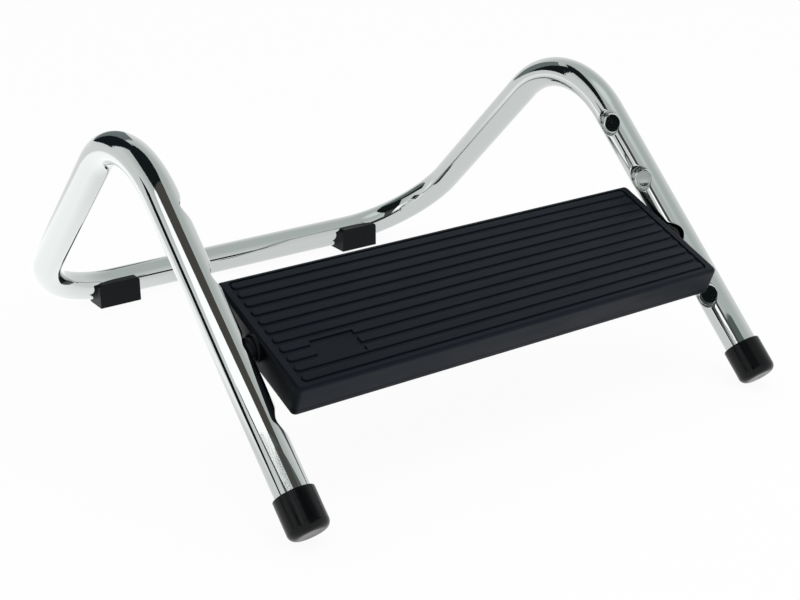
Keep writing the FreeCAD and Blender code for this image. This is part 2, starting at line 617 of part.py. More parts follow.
def pivot_boss(side, sign):
    """A blunt round boss in the seat, with a collar on the tread's end wall and a hollow stem."""
    body = new_body("pivot_boss_" + side)
    collar_end = "(Sizes.tread_half + Sizes.collar_thick)"
    turned = [("stem", "Sizes.boss_stem", "Sizes.boss_tail", "Sizes.boss_tip"),
              ("head", "Sizes.boss_head", "Sizes.tread_half", "Sizes.boss_tip"),
              ("collar", "Sizes.boss_collar", "Sizes.tread_half", collar_end)]
    for name, radius, start, stop in turned:
        low = start if sign > 0 else "-" + stop
        disc = new_sketch(body, f"boss_{name}_{side}", "YZ_Plane", z=low)
        draw_circle(disc, radius, AXIS_V, AXIS_W)
        pad(body, disc, f"{stop} - {start}", f"boss_{name}_solid_{side}")
    tip, rim = sign * SIZE["boss_tip"], sign * value_of(collar_end)
    round_edges(body, "Sizes.boss_nose", "boss_nose_" + side, lambda edge: all_at(edge, "X", tip))
    round_edges(body, "Sizes.collar_edge", "boss_collar_edge_" + side,
                lambda edge: all_at(edge, "X", rim)
                and edge.BoundBox.YLength > SIZE["boss_collar"] + SIZE["boss_head"])
    socket = new_sketch(body, "boss_socket_" + side, "YZ_Plane", z=f"{sign} * Sizes.boss_tail")
    draw_circle(socket, "Sizes.rod_radius + Sizes.rod_fit", AXIS_V, AXIS_W)
    pocket(body, socket, "Sizes.rod_half - Sizes.boss_tail", "boss_socket_cut_" + side,
           back=sign > 0)
    hang_in_seat(body)
    return body


def tray_screws():
    """The screws as one group of separate solids: a flat head sunk in the tray, a plain shank."""
    group = doc.addObject("Part::Compound", "TrayScrews")
    group.Label = "tray_screws"
    screws = []
    for index, (x, y) in enumerate(screw_places()):
        head = doc.addObject("Part::Cylinder", f"ScrewHead{index}")
        bind(head, Radius="Sizes.screw_head", Height="Sizes.screw_head_high",
             Placement__Base__z="Sizes.tread_bottom")
        shank = doc.addObject("Part::Cylinder", f"ScrewShank{index}")
        bind(shank, Radius="Sizes.screw_shank", Height="Sizes.screw_depth",
             Placement__Base__z="Sizes.tread_bottom")
        for piece in (head, shank):
            bind(piece, Placement__Base__x=x, Placement__Base__y=y)
        screw = doc.addObject("Part::Fuse", f"Screw{index}")
        screw.Base = head
        screw.Tool = shank
        screws.append(screw)
    group.Links = screws
    hang_in_seat(group)
    return group


skin = mirrored_pair("rod_skin", rod_half("skin_half", "Sizes.tube_radius", "0"))
parts = [frame_tube(skin)]
for side, sign in (("left", -1), ("right", 1)):
    parts.append(front_cap(side, sign))
    parts.append(rear_clip(side, sign, skin))
parts.append(tread_top())
parts.append(tread_tray())
parts.append(pivot_rod())
for side, sign in (("left", -1), ("right", 1)):
    parts.append(pivot_boss(side, sign))
parts.append(tray_screws())

doc.recompute()
for item in doc.Objects:
    if "Invalid" in item.State or "Error" in item.State:
        raise RuntimeError(f"{item.Name} failed: {item.State}")
os.makedirs("parts", exist_ok=True)
for item in parts:
    if item.Shape.isNull() or not item.Shape.isValid():
        raise RuntimeError(item.Label + " has no valid shape")
    item.Shape.exportStep(f"parts/{item.Label}.step")
    box = item.Shape.optimalBoundingBox(False)
    print(f"{item.Label}: {item.Shape.Volume / 1000:.2f} cm3, {len(item.Shape.Solids)} solids,",
          f"x {box.XMin:.1f}..{box.XMax:.1f} y {box.YMin:.1f}..{box.YMax:.1f}",
          f"z {box.ZMin:.1f}..{box.ZMax:.1f}")
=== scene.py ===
import bmesh
import bpy
from math import atan2, cos, exp, hypot, pi, radians, sin, sqrt, tan
from mathutils import Matrix, Vector


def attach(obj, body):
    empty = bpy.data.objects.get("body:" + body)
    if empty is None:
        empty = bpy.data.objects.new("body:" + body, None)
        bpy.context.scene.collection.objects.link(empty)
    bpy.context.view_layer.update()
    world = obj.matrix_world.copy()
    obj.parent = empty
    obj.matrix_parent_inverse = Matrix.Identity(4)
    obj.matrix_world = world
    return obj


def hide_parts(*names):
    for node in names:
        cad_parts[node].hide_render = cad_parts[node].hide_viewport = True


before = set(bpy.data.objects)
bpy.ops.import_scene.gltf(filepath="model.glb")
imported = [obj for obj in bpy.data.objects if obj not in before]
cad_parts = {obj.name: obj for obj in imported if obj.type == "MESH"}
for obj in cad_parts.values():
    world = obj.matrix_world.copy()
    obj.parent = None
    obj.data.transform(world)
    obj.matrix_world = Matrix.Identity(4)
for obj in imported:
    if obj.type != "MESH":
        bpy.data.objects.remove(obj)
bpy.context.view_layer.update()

# Frame tube: one length of 25 mm steel tube, bent cold over an 80 mm former. Flat-faced punches press
# four round seats into the inner side of each leg, then the whole tube is polished and plated with
# nickel and chrome. The front ends stand in rubber caps.
TUBE_RADIUS, TUBE_WALL, BEND_RADIUS = 0.0125, 0.0016, 0.080
LEG_X, LEG_FOOT_Y, LEG_ANGLE, LEG_RUN = 0.2053, -0.2451, radians(43.13), 0.3423
BAR_Y, BAR_Z, TUBE_START = 0.2287, 0.0151, 0.0156
SEAT_RUNS = (0.088, 0.143, 0.198, 0.253)
SEAT_RADIUS, SEAT_FLOOR, SEAT_CORNER, SEAT_FLARE, SEAT_LIFT = 0.009, 0.0055, 0.0015, 0.0042, 0.00035
SEAT_TURN, SEAT_REACH, SEAT_RINGS, RIM_SOFTNESS, FINE = radians(20), 0.015, 30, 0.00045, 0.0001
FLOOR_STEPS, CORNER_STEPS, WALL_STEPS, FLARE_STEPS = 15, 24, 12, 60
ROUND_STEPS, BEND_STEPS, SEAT_STEPS, FLAT_FROM = 64, 56, 20, 60
SEAT_SIDE, LEAST_HEIGHT, TURN_WEIGHT = 0.3 * TUBE_RADIUS, 0.002, 0.003
END_BORE, WELD = 0.02, 0.00001

leg_foot = Vector((-LEG_X, LEG_FOOT_Y, 0))
up_leg = Vector((0, cos(LEG_ANGLE), sin(LEG_ANGLE)))
across_leg = Vector((0, -sin(LEG_ANGLE), cos(LEG_ANGLE)))
inward = Vector((1, 0, 0))
seat_way = cos(SEAT_TURN) * inward + sin(SEAT_TURN) * across_leg
seat_side = up_leg.cross(seat_way)
hump_corner = leg_foot + LEG_RUN * up_leg
bar_corner = Vector((-LEG_X, BAR_Y, BAR_Z))
down_fall = (bar_corner - hump_corner).normalized()
hump_turn = up_leg.angle(down_fall)
hump_tangent = BEND_RADIUS * tan(hump_turn / 2)
straight_end = LEG_RUN - hump_tangent
hump_centre = leg_foot + straight_end * up_leg - BEND_RADIUS * across_leg
fall_run = (bar_corner - hump_corner).length - hump_tangent - BEND_RADIUS


def only_edges(geometry):
    return [item for item in geometry if isinstance(item, bmesh.types.BMEdge)]


def draw_straight(ring, way, steps):
    """Carry an open ring of edges straight on, in equal steps."""
    made = bmesh.ops.spin(tube, geom=ring, cent=(0, 0, 0), axis=(0, 0, 1), dvec=way / steps,
                          angle=0, steps=steps, use_duplicate=False)
    return only_edges(made["geom_last"])


def draw_bend(ring, centre, axis, angle, steps):
    """Carry an open ring of edges round a bend."""
    made = bmesh.ops.spin(tube, geom=ring, cent=centre, axis=axis, dvec=(0, 0, 0), angle=angle,
                          steps=steps, use_duplicate=False)
    return only_edges(made["geom_last"])


def tube_height(point):
    """How far the round tube's skin stands over a point of the plane that a seat is drawn on."""
    off = (point - leg_foot).dot(seat_side)
    height = sqrt(max(TUBE_RADIUS ** 2 - off ** 2, 0))
    if (point - leg_foot).dot(up_leg) > straight_end:
        for _ in range(6):
            skin = point + height * seat_way - hump_centre
            off = hypot(skin.y, skin.z) - BEND_RADIUS
            height += (TUBE_RADIUS - hypot(skin.x, off)) * TUBE_RADIUS / max(height, LEAST_HEIGHT)
    return height


def seat_section(centre, heading, reach):
    """The pressed section along one heading, as (radius, height), from the floor to the tube's skin."""
    mouth = TUBE_RADIUS + SEAT_LIFT - SEAT_FLARE
    inner = SEAT_RADIUS - SEAT_CORNER
    drawn = [(inner - (FLOOR_STEPS - k) * FINE, SEAT_FLOOR) for k in range(FLOOR_STEPS)]
    for k in range(CORNER_STEPS + 1):
        lean = k / CORNER_STEPS * pi / 2
        drawn.append((inner + SEAT_CORNER * sin(lean), SEAT_FLOOR + SEAT_CORNER * (1 - cos(lean))))
    rise = mouth - SEAT_FLOOR - SEAT_CORNER
    for k in range(1, WALL_STEPS + 1):
        drawn.append((SEAT_RADIUS, SEAT_FLOOR + SEAT_CORNER + rise * k / WALL_STEPS))
    for k in range(1, FLARE_STEPS + 1):
        lean = k / FLARE_STEPS * pi / 2
        drawn.append((SEAT_RADIUS + SEAT_FLARE * (1 - cos(lean)), mouth + SEAT_FLARE * sin(lean)))
    curve = []
    for radius, height in drawn:
        if height > tube_height(centre + radius * heading):
            break
        curve.append((radius, height))
    radius = curve[-1][0] + FINE
    while radius < reach - FINE:
        curve.append((radius, tube_height(centre + radius * heading)))
        radius += FINE
    curve.append((reach, tube_height(centre + reach * heading)))
    return curve


def spaced(curve, gap):
    """The same line as points about one gap apart."""
    lengths = [0]
    for a, b in zip(curve, curve[1:]):
        lengths.append(lengths[-1] + hypot(b[0] - a[0], b[1] - a[1]))
    count = max(2, round(lengths[-1] / gap))
    return [between(curve, lengths, lengths[-1] * k / count) for k in range(count + 1)]


def between(curve, marks, mark):
    """The point of a line where its rising marks reach a value."""
    low, high = 0, len(marks) - 1
    while high - low > 1:
        middle = (low + high) // 2
        if marks[middle] <= mark:
            low = middle
        else:
            high = middle
    share = (mark - marks[low]) / (marks[high] - marks[low] or 1)
    return tuple(a + (b - a) * min(max(share, 0), 1) for a, b in zip(curve[low], curve[high]))


def softened(curve):
    """The line with its corners rounded as thick steel rounds them, ends kept."""
    span = round(2.5 * RIM_SOFTNESS / FINE)
    weights = [exp(-0.5 * (k * FINE / RIM_SOFTNESS) ** 2) for k in range(-span, span + 1)]
    last, result = len(curve) - 1, []
    for index in range(last + 1):
        reach = min(span, index, last - index)
        part = weights[span - reach:span + reach + 1]
        near = curve[index - reach:index + reach + 1]
        total = sum(part)
        result.append(tuple(sum(w * p[axis] for w, p in zip(part, near)) / total for axis in (0, 1)))
    return result


def seat_rings(centre, heading, reach):
    """Ring points for one heading, from the skin to the floor, closest where the section turns."""
    curve = softened(spaced(seat_section(centre, heading, reach), FINE))
    marks = [0]
    for index in range(1, len(curve)):
        a, b = curve[index - 1], curve[index]
        ahead = curve[min(index + 1, len(curve) - 1)]
        turn = atan2(ahead[1] - b[1], ahead[0] - b[0]) - atan2(b[1] - a[1], b[0] - a[0]) if (
            index + 1 < len(curve)) else 0
        marks.append(marks[-1] + hypot(b[0] - a[0], b[1] - a[1]) + TURN_WEIGHT * abs(turn))
    return [between(curve, marks, marks[-1] * (1 - k / SEAT_RINGS)) for k in range(1, SEAT_RINGS + 1)]


def press_seat(run):
    """Cut the skin over one seat to a single face and sink it ring by ring to the seat's floor."""
    centre = leg_foot + run * up_leg
    patch = []
    for face in tube.faces:
        spot = face.calc_center_median() - centre
        if spot.dot(seat_way) > SEAT_SIDE and abs(spot.dot(up_leg)) < SEAT_REACH:
            patch.append(face)
    face = bmesh.ops.dissolve_faces(tube, faces=patch, use_verts=True)["region"][0]
    lines = []
    for corner in face.verts:
        flat = corner.co - centre
        flat -= flat.dot(seat_way) * seat_way
        lines.append((flat.normalized(), seat_rings(centre, flat.normalized(), flat.length)))
    for ring in range(SEAT_RINGS):
        face = bmesh.ops.extrude_discrete_faces(tube, faces=[face])["faces"][0]
        for corner in face.verts:
            flat = corner.co - centre
            flat -= flat.dot(seat_way) * seat_way
            heading, line = max(lines, key=lambda entry: entry[0].dot(flat.normalized()))
            radius, height = line[ring]
            corner.co = centre + radius * heading + height * seat_way


tube = bmesh.new()
turned = Matrix((seat_way, seat_side, up_leg)).transposed().to_4x4()
start = leg_foot + TUBE_START * up_leg
bmesh.ops.create_circle(tube, segments=ROUND_STEPS, radius=TUBE_RADIUS,
                        matrix=Matrix.Translation(start) @ turned)
end_edges = list(tube.edges)
ring = draw_straight(end_edges, (SEAT_RUNS[0] - SEAT_REACH - TUBE_START) * up_leg, 6)
for run, following in zip(SEAT_RUNS, SEAT_RUNS[1:]):
    ring = draw_straight(ring, 2 * SEAT_REACH * up_leg, SEAT_STEPS)
    ring = draw_straight(ring, (following - run - 2 * SEAT_REACH) * up_leg, 4)
ring = draw_straight(ring, (straight_end - SEAT_RUNS[-1] + SEAT_REACH) * up_leg, 18)
ring = draw_bend(ring, hump_centre, inward, -hump_turn, BEND_STEPS)
ring = draw_straight(ring, fall_run * down_fall, 8)
rear_centre = bar_corner - BEND_RADIUS * down_fall + BEND_RADIUS * inward
ring = draw_bend(ring, rear_centre, inward.cross(down_fall), -pi / 2, BEND_STEPS)
ring = draw_straight(ring, (LEG_X - BEND_RADIUS) * inward, 6)
for run in SEAT_RUNS:
    press_seat(run)
end_face = bmesh.ops.contextual_create(tube, geom=end_edges)["faces"][0]
bmesh.ops.inset_individual(tube, faces=[end_face], thickness=TUBE_WALL)
end_face = bmesh.ops.extrude_discrete_faces(tube, faces=[end_face])["faces"][0]
bmesh.ops.translate(tube, verts=end_face.verts, vec=END_BORE * up_leg)
bmesh.ops.mirror(tube, geom=tube.verts[:] + tube.edges[:] + tube.faces[:], axis="X",
                 merge_dist=WELD)
bmesh.ops.remove_doubles(tube, verts=tube.verts, dist=WELD)
bmesh.ops.recalc_face_normals(tube, faces=tube.faces)
for face in tube.faces:
    face.smooth = len(face.verts) < FLAT_FROM
tube_mesh = bpy.data.meshes.new("plated_tube")
tube.to_mesh(tube_mesh)
tube.free()
plated_tube = bpy.data.objects.new("plated_tube", tube_mesh)
bpy.context.scene.collection.objects.link(plated_tube)


def linear(hex_colour):
    """An sRGB hex value as the linear colour that a shader takes."""
    parts = [int(hex_colour[i:i + 2], 16) / 255 for i in (1, 3, 5)]
    return [*(p / 12.92 if p <= 0.04045 else ((p + 0.055) / 1.055) ** 2.4 for p in parts), 1.0]


def put(tree, kind, sockets=None, **settings):
    """Add a node, set its settings, and give each named input a value or link an output to it."""
    made = tree.nodes.new(kind)
    for name, value in settings.items():
        setattr(made, name, value)
    for name, value in (sockets or {}).items():
        if isinstance(value, bpy.types.NodeSocket):
            tree.links.new(value, made.inputs[name])
        else:
            made.inputs[name].default_value = value
    return made


def empty_material(name):
    """A new material and its empty node tree."""
    material = bpy.data.materials.new(name)
    material.use_nodes = True
    material.node_tree.nodes.clear()
    return material, material.node_tree


def dress(node_name, material):
    """Give the solid of one node its finish."""
    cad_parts[node_name].data.materials[0] = material


# Bright chrome plate: mirror-like, a little grey, with the faint ripple of hand polishing that bends
# reflections along the tube, wiped smudges that dull them in places, and an orange-peel skin where the
# bend stretched the humps. Each pattern's scale is 1000 over its real size in mm.
STRETCH_FROM, STRETCH_FULL = 0.17, 0.2
chrome_plate, tree = empty_material("bright_chrome_plate")
place = put(tree, "ShaderNodeTexCoord").outputs["Object"]
ripple = put(tree, "ShaderNodeTexNoise", {"Vector": place, "Scale": 1000 / 24, "Detail": 1.0})
buffing = put(tree, "ShaderNodeTexNoise", {"Vector": place, "Scale": 1000 / 1.4, "Detail": 3.0})
smudge = put(tree, "ShaderNodeTexNoise", {"Vector": place, "Scale": 1000 / 9, "Detail": 5.0,
                                          "Roughness": 0.65})
dulled = put(tree, "ShaderNodeMapRange", {"Value": smudge.outputs["Fac"], "From Min": 0.45,
                                          "From Max": 0.8, "To Min": 0.025, "To Max": 0.11})
relief = put(tree, "ShaderNodeBump", {"Height": ripple.outputs["Fac"], "Distance": 0.0001,
                                      "Strength": 1.0})
relief = put(tree, "ShaderNodeBump", {"Height": buffing.outputs["Fac"], "Distance": 0.0000016,
                                      "Normal": relief.outputs["Normal"], "Strength": 1.0})
height = put(tree, "ShaderNodeSeparateXYZ", {"Vector": place}).outputs["Z"]
stretched = put(tree, "ShaderNodeMapRange", {"Value": height, "From Min": STRETCH_FROM,
                                              "From Max": STRETCH_FULL})
peel = put(tree, "ShaderNodeTexNoise", {"Vector": place, "Scale": 1000 / 2.2, "Detail": 2.0})
relief = put(tree, "ShaderNodeBump", {"Height": peel.outputs["Fac"], "Distance": 0.00003,
                                      "Normal": relief.outputs["Normal"],
                                      "Strength": stretched.outputs["Result"]})
shader = put(tree, "ShaderNodeBsdfPrincipled", {
    "Base Color": linear("#c6cac9"), "Metallic": 1.0, "Roughness": dulled.outputs["Result"],
    "Normal": relief.outputs["Normal"]})
put(tree, "ShaderNodeOutputMaterial", {"Surface": shader.outputs["BSDF"]})
tube_mesh.materials.append(chrome_plate)
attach(plated_tube, "frame")
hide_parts("frame_tube")

# Front caps: round-ended black rubber sleeves, moulded and pushed over the tube's two front ends. The
# footrest stands on their rounded rims.
#
# Moulded rubber: glossy black with a soft skin, dulled unevenly by handling.
cap_rubber, tree = empty_material("glossy_moulded_rubber")
place = put(tree, "ShaderNodeTexCoord").outputs["Object"]
handling = put(tree, "ShaderNodeTexNoise", {"Vector": place, "Scale": 1000 / 7, "Detail": 4.0})
dulled = put(tree, "ShaderNodeMapRange", {"Value": handling.outputs["Fac"], "From Min": 0.35,
                                          "From Max": 0.75, "To Min": 0.16, "To Max": 0.3})
skin = put(tree, "ShaderNodeTexNoise", {"Vector": place, "Scale": 1000 / 0.8, "Detail": 2.0})
relief = put(tree, "ShaderNodeBump", {"Height": skin.outputs["Fac"], "Distance": 0.000004,
                                      "Strength": 1.0})
shader = put(tree, "ShaderNodeBsdfPrincipled", {
    "Base Color": linear("#06080a"), "Roughness": dulled.outputs["Result"],
    "Specular IOR Level": 0.2, "Normal": relief.outputs["Normal"]})
put(tree, "ShaderNodeOutputMaterial", {"Surface": shader.outputs["BSDF"]})
for side in ("left", "right"):
    dress("front_cap_" + side, cap_rubber)

# Rear clips: saddles of black nylon, injection moulded and snapped under the rear bar. The footrest
# stands on their flat undersides.
#
# Spark-textured nylon: black satin with a fine even grain that spreads the highlights.
clip_nylon, tree = empty_material("spark_textured_nylon")
place = put(tree, "ShaderNodeTexCoord").outputs["Object"]
grain = put(tree, "ShaderNodeTexNoise", {"Vector": place, "Scale": 1000 / 0.5, "Detail": 2.0})
relief = put(tree, "ShaderNodeBump", {"Height": grain.outputs["Fac"], "Distance": 0.00001,
                                      "Strength": 1.0})
shader = put(tree, "ShaderNodeBsdfPrincipled", {
    "Base Color": linear("#0b0d10"), "Roughness": 0.38, "Specular IOR Level": 0.12,
    "Normal": relief.outputs["Normal"]})
put(tree, "ShaderNodeOutputMaterial", {"Surface": shader.outputs["BSDF"]})
for side in ("left", "right"):
    dress("rear_clip_" + side, clip_nylon)

# Tread: a ribbed top and a closing tray, both injection moulded in blue-black polypropylene. Eight
# screws from below hold the tray.
#
# Satin polypropylene: very dark blue-black, a fine moulded grain and flow marks along the length that
# change the sheen a little, with painted shade on the end faces and a painted shade line along the joint
# between the two mouldings. The joint's level is measured square to the tilted tread.
TREAD_HALF, TREAD_TILT, JOINT_LEVEL = 0.1897, radians(21), 0.13615
END_FROM, END_FULL, JOINT_HALF, JOINT_FADE = 0.003, 0.0005, 0.0004, 0.0009
tread_plastic, tree = empty_material("satin_moulded_polypropylene")
place = put(tree, "ShaderNodeTexCoord").outputs["Object"]
along = put(tree, "ShaderNodeMapping", {"Vector": place, "Scale": (0.25, 1.0, 1.0)})
flow = put(tree, "ShaderNodeTexNoise", {"Vector": along.outputs["Vector"], "Scale": 1000 / 11,
                                        "Detail": 4.0})
sheen = put(tree, "ShaderNodeMapRange", {"Value": flow.outputs["Fac"], "From Min": 0.3,
                                         "From Max": 0.7, "To Min": 0.36, "To Max": 0.5})
grain = put(tree, "ShaderNodeTexNoise", {"Vector": place, "Scale": 1000 / 0.7, "Detail": 3.0})
relief = put(tree, "ShaderNodeBump", {"Height": grain.outputs["Fac"], "Distance": 0.000016,
                                      "Strength": 1.0})
out = put(tree, "ShaderNodeSeparateXYZ", {"Vector": place}).outputs["X"]
out = put(tree, "ShaderNodeMath", {0: out}, operation="ABSOLUTE").outputs["Value"]
# Painted shade: this mask darkens the tread's end faces and their rounded corners by their distance from
# the middle.
ends = put(tree, "ShaderNodeMapRange", {"Value": out, "From Min": TREAD_HALF - END_FROM,
                                        "From Max": TREAD_HALF - END_FULL, "To Min": 1.0,
                                        "To Max": 0.15})
# Painted shade: a thin dark line along the joint between the top and the tray, where the gap's shade
# falls.
level = put(tree, "ShaderNodeVectorMath", {0: place, 1: (0, -sin(TREAD_TILT), cos(TREAD_TILT))},
            operation="DOT_PRODUCT").outputs["Value"]
off = put(tree, "ShaderNodeMath", {0: level, 1: JOINT_LEVEL}, operation="SUBTRACT").outputs["Value"]
off = put(tree, "ShaderNodeMath", {0: off}, operation="ABSOLUTE").outputs["Value"]
joint = put(tree, "ShaderNodeMapRange", {"Value": off, "From Min": JOINT_HALF, "From Max": JOINT_FADE,
                                         "To Min": 0.1, "To Max": 1.0}).outputs["Result"]
unshaded = put(tree, "ShaderNodeMath", {0: ends.outputs["Result"], 1: joint}, operation="MULTIPLY")
# The first colour is the painted shade of the ends and the joint, the second the plastic's own colour.
shade = put(tree, "ShaderNodeMix", {"Factor": unshaded.outputs["Value"], "A": linear("#020203"),
                                    "B": linear("#0e131a")}, data_type="RGBA")
shader = put(tree, "ShaderNodeBsdfPrincipled", {
    "Base Color": shade.outputs[2], "Roughness": sheen.outputs["Result"],
    "Specular IOR Level": 0.15, "Specular Tint": linear("#dfe9ff"),
    "Normal": relief.outputs["Normal"]})
put(tree, "ShaderNodeOutputMaterial", {"Surface": shader.outputs["BSDF"]})
for node_name in ("tread_top", "tread_tray"):
    dress(node_name, tread_plastic)

# Pivot: a drawn steel rod through the tread carries two collared bosses of black acetal, pushed on at
# its ends, which sit in a pair of the seats.
#
# Black acetal: smooth and slightly waxy, a broad soft highlight.
boss_acetal, tree = empty_material("waxy_black_acetal")
place = put(tree, "ShaderNodeTexCoord").outputs["Object"]
wax = put(tree, "ShaderNodeTexNoise", {"Vector": place, "Scale": 1000 / 3, "Detail": 3.0})
sheen = put(tree, "ShaderNodeMapRange", {"Value": wax.outputs["Fac"], "To Min": 0.35, "To Max": 0.5})
shader = put(tree, "ShaderNodeBsdfPrincipled", {
    "Base Color": linear("#0b0d11"), "Roughness": sheen.outputs["Result"],
    "Specular IOR Level": 0.15})
put(tree, "ShaderNodeOutputMaterial", {"Surface": shader.outputs["BSDF"]})
for side in ("left", "right"):
    dress("pivot_boss_" + side, boss_acetal)

# Drawn steel: grey metal with fine lines along the drawing direction.
rod_steel, tree = empty_material("drawn_steel")
place = put(tree, "ShaderNodeTexCoord").outputs["Object"]
drawn = put(tree, "ShaderNodeMapping", {"Vector": place, "Scale": (0.02, 1.0, 1.0)})
lines = put(tree, "ShaderNodeTexNoise", {"Vector": drawn.outputs["Vector"], "Scale": 1000 / 0.3,
                                         "Detail": 2.0})
relief = put(tree, "ShaderNodeBump", {"Height": lines.outputs["Fac"], "Distance": 0.000003,
                                      "Strength": 1.0})
shader = put(tree, "ShaderNodeBsdfPrincipled", {
    "Base Color": linear("#a2a4a6"), "Metallic": 1.0, "Roughness": 0.3,
    "Normal": relief.outputs["Normal"]})
put(tree, "ShaderNodeOutputMaterial", {"Surface": shader.outputs["BSDF"]})
dress("pivot_rod", rod_steel)

# Tray screws: eight cold-headed steel screws, blackened, driven up through the tray into the posts of
# the top until their flat heads lie flush in its underside.
#
# Blackened steel: oiled black oxide, dark grey with brown-grey patches.
screw_steel, tree = empty_material("oiled_black_oxide_steel")
place = put(tree, "ShaderNodeTexCoord").outputs["Object"]
patches = put(tree, "ShaderNodeTexNoise", {"Vector": place, "Scale": 1000 / 1.5, "Detail": 4.0})
shade = put(tree, "ShaderNodeMix", {"Factor": patches.outputs["Fac"], "A": linear("#2b2b2d"),
                                    "B": linear("#453f3a")}, data_type="RGBA")
shader = put(tree, "ShaderNodeBsdfPrincipled", {
    "Base Color": shade.outputs[2], "Metallic": 1.0, "Roughness": 0.35})
put(tree, "ShaderNodeOutputMaterial", {"Surface": shader.outputs["BSDF"]})
dress("tray_screws", screw_steel)

# Studio floor: a sheet of white paper that keeps the part's shadow. To the camera and to glossy surfaces
# it glows an even white, and glossy surfaces alone see one brighter glowing patch at its left rear, a
# painted reflection.
FLOOR_HALF, SEEN_SHARE = 6, 0.93
PATCH_CENTRE, PATCH_RADIUS, PATCH_FADE, PATCH_GLOW = (-0.45, 0.3, 0), 0.25, 0.42, 0.5
paper, tree = empty_material("white_paper")
rays = put(tree, "ShaderNodeLightPath").outputs
seen = put(tree, "ShaderNodeMath", {0: rays["Is Camera Ray"], 1: rays["Is Glossy Ray"]},
           operation="MAXIMUM")
seen = put(tree, "ShaderNodeMath", {0: seen.outputs["Value"], 1: rays["Is Transmission Ray"]},
           operation="MAXIMUM")
share = put(tree, "ShaderNodeMath", {0: seen.outputs["Value"], 1: SEEN_SHARE}, operation="MULTIPLY")
sheet = put(tree, "ShaderNodeBsdfDiffuse", {"Color": linear("#fbfbfb")})
place = put(tree, "ShaderNodeTexCoord").outputs["Object"]
# Painted reflection: a brighter glow near the left rear that only glossy rays see.
off = put(tree, "ShaderNodeVectorMath", {0: place, 1: PATCH_CENTRE}, operation="DISTANCE")
patch = put(tree, "ShaderNodeMapRange", {"Value": off.outputs["Value"], "From Min": PATCH_FADE,
                                         "From Max": PATCH_RADIUS, "To Min": 0.0, "To Max": PATCH_GLOW})
lit = put(tree, "ShaderNodeMath", {0: rays["Is Glossy Ray"], 1: patch.outputs["Result"], 2: 1.0},
          operation="MULTIPLY_ADD")
white = put(tree, "ShaderNodeEmission", {"Color": linear("#ffffff"), "Strength": lit.outputs["Value"]})
mixed = put(tree, "ShaderNodeMixShader", {0: share.outputs["Value"], 1: sheet.outputs["BSDF"],
                                          2: white.outputs["Emission"]})
put(tree, "ShaderNodeOutputMaterial", {"Surface": mixed.outputs["Shader"]})
floor = bmesh.new()
bmesh.ops.create_grid(floor, x_segments=1, y_segments=1, size=FLOOR_HALF)
floor_mesh = bpy.data.meshes.new("studio_floor")
floor.to_mesh(floor_mesh)
floor.free()
floor_mesh.materials.append(paper)
studio_floor = bpy.data.objects.new("studio_floor", floor_mesh)
bpy.context.scene.collection.objects.link(studio_floor)

# Studio tent and lamps: pale cloth all round, a little greyer overhead but for a lit spot near the
# middle, and two soft lamps, one overhead and one in front, at a level where colours render as written.
LOW_CLOTH, HIGH_CLOTH = 0.35, 0.8
SPOT_WAY, SPOT_EDGE, SPOT_FULL, SPOT_GLOW = (-0.10, -0.16, 0.98), 0.92, 0.99, 1.5
world = bpy.data.worlds.new("studio")
bpy.context.scene.world = world
world.use_nodes = True
tree = world.node_tree
tree.nodes.clear()
ray = put(tree, "ShaderNodeTexCoord").outputs["Generated"]
height = put(tree, "ShaderNodeSeparateXYZ", {"Vector": ray}).outputs["Z"]
tent = put(tree, "ShaderNodeValToRGB", {"Fac": height})
low, high = tent.color_ramp.elements
low.position, low.color = LOW_CLOTH, linear("#f9faf9")
high.position, high.color = HIGH_CLOTH, linear("#d2d8d5")
near = put(tree, "ShaderNodeVectorMath", {0: ray, 1: SPOT_WAY}, operation="DOT_PRODUCT")
spot = put(tree, "ShaderNodeMapRange", {"Value": near.outputs["Value"], "From Min": SPOT_EDGE,
                                        "From Max": SPOT_FULL, "To Min": 1.0, "To Max": SPOT_GLOW},
           interpolation_type="SMOOTHSTEP")
glow = put(tree, "ShaderNodeBackground", {"Color": tent.outputs["Color"],
                                          "Strength": spot.outputs["Result"]})
put(tree, "ShaderNodeOutputWorld", {"Surface": glow.outputs["Background"]})


def softbox(name, place, aim, width, depth, glow):
    """A soft lamp of an even glow, aimed at a point, that glossy surfaces don't mirror."""
    lamp = bpy.data.lights.new(name, "AREA")
    lamp.shape = "RECTANGLE"
    lamp.size, lamp.size_y = width, depth
    lamp.energy = glow * pi * width * depth
    made = bpy.data.objects.new(name, lamp)
    made.location = place
    made.rotation_euler = (Vector(aim) - Vector(place)).to_track_quat("-Z", "Y").to_euler()
    bpy.context.scene.collection.objects.link(made)
    made.visible_glossy = False


softbox("softbox_overhead", (0.18, -0.30, 1.2), (0, 0, 0), 0.7, 0.45, 1.6)
softbox("softbox_front", (0.95, -1.5, 0.8), (0, -0.1, 0.1), 1.0, 0.8, 1.3)

# Studio flags and boards: flat glowing sheets of black, grey and white that stand or hang well off the
# part, where only glossy surfaces show them: painted reflections that give the plate its dark and bright
# bands.
LEG_GAP, SOFT_GAP, BACK_GAP, GREY_GAP, SIDE_GAP = 0.3, 0.5, 0.8, 0.81, 0.9


def over_legs(gap):
    """Points (x, run up the leg) of a plane that lies a gap over both legs."""
    return lambda x, run: leg_foot + (x + LEG_X) * inward + run * up_leg + gap * across_leg


def behind(gap):
    """Points (x, height) of an upright plane that stands a gap behind the middle."""
    return lambda x, height: Vector((x, gap, height))


def beside(gap):
    """Points (y, height) of an upright plane that stands a gap to the left of the middle."""
    return lambda y, height: Vector((-gap, y, height))


